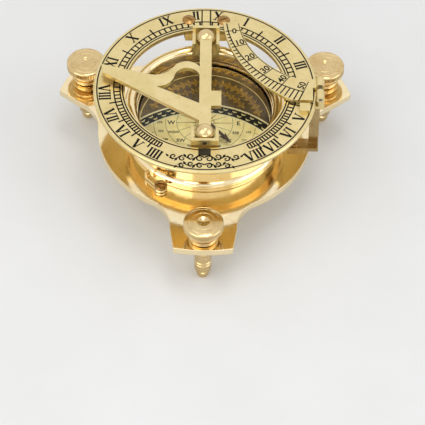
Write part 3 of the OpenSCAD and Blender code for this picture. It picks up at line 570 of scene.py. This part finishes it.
# The CAD nodes of each finish. The turned knobs and screws stand in for the rest.
NODES_IN = {
    "polished_brass": ("base_plate", "compass_bowl", "bowl_bezel", "glass_retainer", "chapter_ring",
                       "hinge_bracket", "lock_lever", "needle_cap"),
    "satin_brass": ("hinge_leaf", "dial_ring", "north_yoke", "south_yoke", "gnomon_plate", "arc_bracket",
                    "latitude_arc", "arc_bracket_screw"),
    "soft_brass": ("gnomon_heads",),
    # The index post gets the brass with a painted dark reflection in its colour
    "painted_dark_reflection_brass": ("index_post",),
    "copper_alloy": ("bowl_screws", "bracket_screws", "ring_screws", "post_screws", "lock_screw"),
    "dark_steel": ("hinge_pin", "gnomon_pins", "arc_hinge_pin", "needle_pivot"),
    "browned_steel": ("compass_needle",),
    "blackened_steel": ("yoke_screws",),
    "printed_card": ("compass_card",),
    "clear_glass": ("compass_glass",),
}
NODE_FINISH = {node: finish for finish, nodes in NODES_IN.items() for node in nodes}


def finish_nodes():
    """Gives every CAD node its finish."""
    for node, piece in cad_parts.items():
        piece.data.materials.clear()
        piece.data.materials.append(FINISHES[NODE_FINISH.get(node, "turned_brass")])


# Hour scale

def letter_strokes(letter):
    """The strokes of a Roman letter of height 1 and its serifs, as (start, end, width)."""
    strokes, ends, _ = LETTERS[letter]
    serifs = []
    for x, y in ends:
        level = SERIF_T / 2 if y == 0 else 1 - SERIF_T / 2
        serifs.append(((x - SERIF_REACH, level), (x + SERIF_REACH, level), SERIF_T))
    return strokes + serifs


def write_numeral(flat, text, angle):
    """Writes a Roman numeral on the dial, centred on an angle, with its foot at the outer edge."""
    halves = [LETTERS[letter][2] for letter in text]
    places = [0.0]
    for before, after in zip(halves, halves[1:]):
        places.append(places[-1] + before + after + LETTER_GAP)
    middle = (places[0] - halves[0] + places[-1] + halves[-1]) / 2
    foot = on_dial(NUMERAL_BASE_R, angle)
    across = on_dial(1, angle - 90)
    up = on_dial(-1, angle)
    for letter, place in zip(text, places):
        for start, end, width in letter_strokes(letter):
            ends = []
            for u, v in (start, end):
                u, v = (u + place - middle) * NUMERAL_W, v * NUMERAL_H
                ends.append((foot[0] + across[0] * u + up[0] * v, foot[1] + across[1] * u + up[1] * v))
            flat.line(*ends, width * NUMERAL_W)


def dial_lines():
    """Circles, hour track, half-hour ticks and noon lines."""
    flat = engraving(RING_TOP)
    flat.arc(CENTRE, LINE_OUT_R, LINE_W, steps=CIRCLE_STEPS)
    flat.arc(CENTRE, LINE_IN_R, LINE_W, steps=CIRCLE_STEPS)
    span = HOUR_ANGLES[-1]
    for side in (-1, 1):
        first = min(90, 90 - side * span)
        for radius in (TRACK_IN_R, TRACK_OUT_R):
            flat.arc(CENTRE, radius, LINE_W, first, first + span, TRACK_STEPS)
        for start, stop in zip(HOUR_ANGLES, HOUR_ANGLES[1:]):
            for cell in range(1, TRACK_CELLS + 1):
                angle = side * (start + (stop - start) * cell / TRACK_CELLS)
                outer = HALF_TICK_R if cell == TRACK_CELLS // 2 else TRACK_OUT_R
                flat.line(on_dial(TRACK_IN_R, angle), on_dial(outer, angle), TICK_W)
        low = math.sqrt(LINE_IN_R ** 2 - NOON_X ** 2)
        high = math.sqrt(LINE_OUT_R ** 2 - NOON_X ** 2)
        flat.line((side * NOON_X, low), (side * NOON_X, high), LINE_W)
    flat.piece("dial_lines", "dial", "black_filling", "satin_brass")


def dial_numerals():
    """Hours from four in the morning to eight at night, with twelve split by the noon lines."""
    flat = engraving(RING_TOP)
    for angle, west, east in zip(HOUR_ANGLES, WEST_HOURS, EAST_HOURS):
        if west:
            write_numeral(flat, west, -angle)
            write_numeral(flat, east, angle)
    for text, angle in NOON_HALVES:
        write_numeral(flat, text, angle)
    flat.piece("dial_numerals", "dial", "black_filling", "satin_brass")


def spiral(centre, radius, turns, start, way, steps=26):
    """Points of a curl that winds in to a small eye at its centre."""
    eye, easing = 0.12, 0.8
    path = []
    for i in range(steps):
        share = i / (steps - 1)
        path.append(polar(centre, radius * (1 - share) ** easing + eye, start + way * 360 * turns * share))
    return path


def leaf_outline(root, size, angle):
    """A pointed leaf of a length and a width, from its root along an angle."""
    steps, fullness = 7, 0.8
    length, width = size
    a = math.radians(angle)
    outline = []
    for side, order in ((1, range(steps + 1)), (-1, range(steps - 1, 0, -1))):
        for i in order:
            x = length * (i / steps)
            y = side * width / 2 * math.sin(math.pi * (i / steps) ** fullness)
            outline.append((root[0] + x * math.cos(a) - y * math.sin(a),
                            root[1] + x * math.sin(a) + y * math.cos(a)))
    return outline


def dial_ornament():
    """Two rows of leafy scrolls at the foot of the dial, alike on both sides of the middle."""
    flat = engraving(RING_TOP)
    shares = [i / STALK_STEPS for i in range(STALK_STEPS + 1)]
    for level, half_length, curls, radius in SCROLL_ROWS:
        pitch = half_length / curls
        for side in (-1, 1):
            stalk = [(side * half_length * share,
                      level + STALK_WAVE * radius * math.sin(math.pi * curls * share)) for share in shares]
            flat.stroke(stalk, [STALK_W - STALK_TAPER * share for share in shares])
            for k in range(curls):
                x = side * pitch * (k + 0.5)
                up = 1 if k % 2 else -1
                curl = spiral((x, level + up * CURL_LIFT * radius), radius * (1 - CURL_SHRINK * k),
                              CURL_TURNS, -90 * up, side * up)
                flat.stroke(curl, [CURL_W * (1 - CURL_TAPER * i / len(curl)) for i in range(len(curl))])
                root = (x + side * LEAF_ALONG * pitch, level + up * LEAF_LIFT * radius)
                flat.slab(leaf_outline(root, SCROLL_LEAF, up * (90 - side * SCROLL_LEAF_LEAN)))
    flat.piece("dial_ornament", "dial", "black_filling", "satin_brass")


# Latitude arc

def on_arc(circle, angle, outwards=0.0):
    """The point where a line from the arc's hub meets a circle, or a little further out along that line."""
    centre, radius = circle
    a = math.radians(angle)
    dx, dy = ARC_HUB[0] - centre[0], ARC_HUB[1] - centre[1]
    along = dx * math.cos(a) + dy * math.sin(a)
    reach = -along + math.sqrt(along * along - dx * dx - dy * dy + radius * radius)
    return polar(ARC_HUB, reach + outwards, angle)


def arc_marks():
    """Divider, border, ticks and numbers of the latitude scale."""
    flat = engraving(RING_TOP + ARC_RISE)
    first, last = ARC_ANGLES[0] - DIVIDER_BEFORE, ARC_ANGLES[-1] + DIVIDER_AFTER
    angles = [first + (last - first) * i / ARC_STEPS for i in range(ARC_STEPS + 1)]
    divider = [on_arc(ARC_DIVIDER, a) for a in angles]
    border = [on_arc(ARC_IN, a, BORDER_INSET) for a in angles if a < BORDER_END]
    flat.stroke(divider, [DIVIDER_W] * len(divider))
    flat.stroke(border, [BORDER_W] * len(border))
    for tens, angle in enumerate(ARC_ANGLES):
        outer, inner = on_arc(ARC_DIVIDER, angle), on_arc(ARC_IN, angle, BORDER_INSET)
        middle = ((outer[0] + inner[0]) / 2, (outer[1] + inner[1]) / 2)
        direction = angle - 180
        if tens == 0:
            for end in (outer, inner):
                near = tuple(m + (e - m) * NOUGHT_OPEN for m, e in zip(middle, end))
                flat.line(near, end, TEN_W)
            flat.write("0", ARC_DIGIT_H, middle, direction)
        else:
            flat.line(outer, inner, TEN_W)
            over = polar(middle, DIGIT_CLEAR + ARC_DIGIT_H / 2, direction + 90)
            flat.write(str(10 * tens), ARC_DIGIT_H, over, direction)
        flat.line(on_arc(ARC_OUT, angle, -ARC_TICK_INSET), outer, ARC_TICK_W)
        if tens + 1 < len(ARC_ANGLES):
            span = ARC_ANGLES[tens + 1] - angle
            for cell in range(1, ARC_CELLS):
                a = angle + span * cell / ARC_CELLS
                flat.line(on_arc(ARC_OUT, a, -ARC_TICK_INSET), on_arc(ARC_DIVIDER, a), ARC_TICK_W)
    flat.piece("arc_marks", "arc", "black_filling", "satin_brass")


# Compass card

def card_rose():
    """Circles, rays, letters and degree numbers of the rose, printed on the near part of the card."""
    flat = card_layer("rose")
    for radius in CIRCLES:
        flat.arc(CENTRE, radius, ROSE_LINE_W)
    for i, name in enumerate(POINTS):
        angle = POINT_STEP * i
        flat.line(polar(CENTRE, CIRCLES[0], angle), polar(CENTRE, CIRCLES[1], angle), ROSE_LINE_W)
        flat.write(name, LETTER_H[i % len(LETTER_H)], polar(CENTRE, LETTER_R, angle), 0)
    for degrees in range(0, 360, DEGREE_STEP):
        flat.write(str(degrees), DEGREE_H, on_dial(DEGREE_R, degrees), 0)
    for tick in range(0, 360, TICK_STEP):
        inner = CIRCLES[4] - SHORT_TICK if tick % DEGREE_STEP else CIRCLES[3]
        flat.line(on_dial(inner, tick), on_dial(CIRCLES[4], tick), ROSE_TICK_W)
    flat.piece("card_rose", "base", "black_filling", "printed_card")


def card_star():
    """A sixteen-pointed star in the middle of the rose."""
    flat = card_layer("star")
    for i in range(len(POINTS)):
        length = STAR_LENGTHS[i % len(STAR_LENGTHS)]
        angle = POINT_STEP * i
        flat.slab([CENTRE, polar(CENTRE, STAR_ROOT, angle - POINT_STEP / 2), polar(CENTRE, length, angle)])
    flat.piece("card_star", "base", "card_leaf", "printed_card")


def across_card(radius):
    """The part of a circle round the border's centre that lies on the print, as a line of points."""
    # Tried from 20 to 160 degrees, by half degrees
    reach = [a / 2 for a in range(40, 321) if math.hypot(*polar(BAND_CENTRE, radius, a / 2)) < PRINT_R]
    return [polar(BAND_CENTRE, radius, reach[0] + (reach[-1] - reach[0]) * i / BAND_STEPS)
            for i in range(BAND_STEPS + 1)]


def card_border():
    """The dark border that crosses the card, and the pale line on either side of it."""
    dark = card_layer("border")
    dark.band(across_card(BAND_R[1]), across_card(BAND_R[0]))
    dark.piece("card_border", "base", "black_enamel", "printed_card")
    pale = card_layer("pale_lines")
    for inner, outer in PALE_LINES:
        pale.band(across_card(outer), across_card(inner))
    pale.piece("card_pale_lines", "base", "card_pale_band", "printed_card")


def card_crescents():
    """Two staggered rows of small crescents along the dark border."""
    flat = card_layer("crescents")
    steps, most = 10, 10
    for row, share in enumerate(CRESCENT_ROWS):
        radius = BAND_R[0] + (BAND_R[1] - BAND_R[0]) * share
        pitch = math.degrees(CRESCENT_PITCH / radius)
        for i in range(-most, most + 1):
            angle = 90 + pitch * (i + 0.5 * row)
            if math.hypot(*polar(BAND_CENTRE, radius, angle)) > CRESCENT_LIMIT:
                continue
            middle = polar(BAND_CENTRE, radius + CRESCENT_BEYOND, angle)
            path = [polar(middle, CRESCENT_R, angle + 180 + CRESCENT_HALF * (2 * k / steps - 1))
                    for k in range(steps + 1)]
            flat.stroke(path, [CRESCENT_TIP + CRESCENT_MORE * math.sin(math.pi * k / steps)
                               for k in range(steps + 1)])
    flat.piece("card_crescents", "base", "card_crescent", "printed_card")


def card_field():
    """The dark field beyond the border: painted shade and painted reflection over the far part of the card,
    in the gilt print's shader.
    """
    flat = card_layer("field")
    edge = across_card(FIELD_R)
    first, last = (math.degrees(math.atan2(y, x)) for x, y in (edge[0], edge[-1]))
    rim = [polar(CENTRE, PRINT_R, first + (last - first) * i / BAND_STEPS) for i in range(BAND_STEPS + 1)]
    flat.band(edge, rim)
    flat.piece("card_field", "base", "card_field", "printed_card")


def card_leaves():
    """A garland of leaves and curls on the field."""
    flat = card_layer("leaves")
    for radius, pitch, size in GARLAND_ROWS:
        for i in range(int(GARLAND_SPAN / pitch) + 1):
            angle = GARLAND_START + pitch * i
            middle = polar(CENTRE, radius, angle)
            if math.dist(middle, BAND_CENTRE) < FIELD_R + GARLAND_CLEAR:
                continue
            for turn in GARLAND_TURNS:
                flat.slab(leaf_outline(middle, [size * part for part in GARLAND_LEAF], angle + turn))
            curl = spiral(polar(CENTRE, radius, angle + pitch / 2), GARLAND_CURL_R * size,
                          GARLAND_CURL_TURNS, angle, 1, GARLAND_CURL_STEPS)
            flat.stroke(curl, [GARLAND_CURL_W] * len(curl))
    flat.piece("card_leaves", "base", "card_leaf", "printed_card")


# Turned knobs and threaded screws

def node_round(node):
    """Centre of an upright round CAD node from the axis, its radius, and its lowest and highest level."""
    low, high = node_box(node)
    centre = ((low.x + high.x) / 2 - AXIS[0], (low.y + high.y) / 2 - AXIS[1])
    return centre, (high.x - low.x) / 2, low.z, high.z


def make_knob(side):
    """The turned knob of one levelling screw, with a straight knurl on its disc."""
    node = f"levelling_knob_{side}"
    centre, radius, low, high = node_round(node)
    disc = high - DISC_T
    shape = [(r, low + z) for r, z in KNOB_STEM]
    shape += [(DISC_LIP[0], disc + DISC_LIP[1]), (radius, disc + DISC_EDGE)]
    shape += [(radius, disc + KNURL_FIRST + KNURL_PITCH * i) for i in range(KNURL_ROWS)]
    shape.append((radius, high - KNOB_SHOULDER))
    shape += [(r, high - depth) for r, depth in KNOB_TOP]

    def knurl(r, z, angle):
        if r >= radius and high - KNURL_LOW < z < high - KNURL_HIGH:
            return r - KNURL_HALF_DEPTH * (1 + math.cos(KNURL_RIDGES * angle))
        return r

    mesh = turned(shape, 4 * KNURL_RIDGES, centre, knurl)
    piece = make_piece(f"turned_knob_{side}", mesh, f"knob_{side}", "turned_brass", True)
    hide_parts(node)


def make_screw(side):
    """One levelling screw: turned foot, and a thread cut into its stem."""
    node = f"levelling_screw_{side}"
    centre, radius, low, high = node_round(node)
    shape = [(0, low), (TIP_R, low)]
    shape += [polar((0, BALL_Z), BALL_R, angle) for angle in BALL_ANGLES]
    shape += SCREW_FOOT
    shape += [(radius - less, z) for less, z in SCREW_FLANGE]
    rows = int((high - STEM_FOOT) / THREAD_LEAD * THREAD_ROWS)
    shape += [(STEM_R, STEM_FOOT + (high - STEM_FOOT) * i / rows) for i in range(rows + 1)]
    shape.append((0, high))

    def thread(r, z, angle):
        if r == STEM_R and STEM_FOOT + THREAD_END < z < high - THREAD_END:
            phase = (z / THREAD_LEAD - angle / (2 * math.pi)) % 1
            return r - THREAD_DEPTH * abs(2 * phase - 1)
        return r

    mesh = turned(shape, STEM_SEGMENTS, centre, thread)
    piece = make_piece(f"turned_screw_{side}", mesh, f"foot_{side}", "turned_brass", True)
    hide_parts(node)


# Stage, light and camera

def make_floor():
    """Pale floor that the object stands on."""
    n = Nodes("pale_floor")
    clouds = n.between(n.noise(60), 0, 1)
    n.to("Base Color", n.blend(clouds, linear(240, 239, 237), linear(236, 235, 232)))
    n.set("Roughness", 0.85)
    n.set("Specular IOR Level", 0.1)
    mesh = bmesh.new()
    bmesh.ops.create_grid(mesh, x_segments=4, y_segments=4, size=FLOOR_HALF)
    data = bpy.data.meshes.new("floor")
    mesh.to_mesh(data)
    mesh.free()
    data.materials.append(n.material)
    floor = bpy.data.objects.new("floor", data)
    bpy.context.scene.collection.objects.link(floor)


def make_world():
    """A white surround to the camera and in reflections, and a softer one for the light on the object."""
    world = bpy.data.worlds.new("studio")
    world.use_nodes = True
    bpy.context.scene.world = world
    tree = world.node_tree
    soft = tree.nodes["Background"]
    white = tree.nodes.new("ShaderNodeBackground")
    for node, colour, level in ((soft, SOFT_WHITE, SOFT_LEVEL), (white, WHITE, WHITE_LEVEL)):
        node.inputs["Color"].default_value = colour
        node.inputs["Strength"].default_value = level
    rays = tree.nodes.new("ShaderNodeLightPath")
    seen = rays.outputs["Is Camera Ray"]
    for name in ("Is Glossy Ray", "Is Transmission Ray"):
        either = tree.nodes.new("ShaderNodeMath")
        either.operation = "MAXIMUM"
        tree.links.new(seen, either.inputs[0])
        tree.links.new(rays.outputs[name], either.inputs[1])
        seen = either.outputs[0]
    mix = tree.nodes.new("ShaderNodeMixShader")
    tree.links.new(seen, mix.inputs[0])
    tree.links.new(soft.outputs[0], mix.inputs[1])
    tree.links.new(white.outputs[0], mix.inputs[2])
    tree.links.new(mix.outputs[0], tree.nodes["World Output"].inputs["Surface"])


def make_lamp(name, place, size, power, colour):
    """A soft lamp of a width and a height that faces the object."""
    lamp = bpy.data.lights.new(name, "AREA")
    lamp.shape = "RECTANGLE"
    lamp.size, lamp.size_y = size
    lamp.energy = power
    lamp.color = colour
    holder = bpy.data.objects.new(name, lamp)
    bpy.context.scene.collection.objects.link(holder)
    holder.location = place
    holder.rotation_mode = "QUATERNION"
    holder.rotation_quaternion = (Vector(LAMP_TARGET) - Vector(place)).to_track_quat("-Z", "Y")


def make_camera():
    """The photograph's view: a long lens from the front and above, with the axis a little off the middle."""
    elevation, azimuth, roll = (math.radians(angle) for angle in (ELEVATION, AZIMUTH, ROLL))
    target = Vector((0, AXIS[1] * MM, 0))
    back = Vector((math.cos(elevation) * math.sin(azimuth), -math.cos(elevation) * math.cos(azimuth),
                   math.sin(elevation)))
    level = Vector((math.cos(azimuth), math.sin(azimuth), 0))
    upright = back.cross(level)
    right = math.cos(roll) * level - math.sin(roll) * upright
    up = math.sin(roll) * level + math.cos(roll) * upright
    # The camera looks past the target, so that the target falls on its own pixel
    off = (AXIS_PX[0] - PHOTO_SIDE / 2) / FOCAL_PX, (PHOTO_SIDE / 2 - AXIS_PX[1]) / FOCAL_PX
    aim = (-back - off[0] * right - off[1] * up).normalized()
    right = aim.cross(up).normalized()
    up = right.cross(aim)
    data = bpy.data.cameras.new("camera")
    data.sensor_width = SENSOR_WIDTH
    data.lens = SENSOR_WIDTH * FOCAL_PX / PHOTO_SIDE
    data.clip_start, data.clip_end = CLIP
    camera = bpy.data.objects.new("camera", data)
    bpy.context.scene.collection.objects.link(camera)
    camera.matrix_world = Matrix((right, up, -aim)).transposed().to_4x4()
    camera.location = target + DISTANCE * back
    bpy.context.scene.camera = camera


def build():
    """Makes every piece, the stage, the lamps and the camera."""
    finish_nodes()
    dial_lines()
    dial_numerals()
    dial_ornament()
    arc_marks()
    card_rose()
    card_star()
    card_border()
    card_crescents()
    card_field()
    card_leaves()
    for side in ("front", "left", "right"):
        make_knob(side)
        make_screw(side)
    make_floor()
    make_world()
    for lamp in LAMPS:
        make_lamp(*lamp)
    make_camera()
    bpy.context.scene.view_settings.view_transform = "Standard"


build()
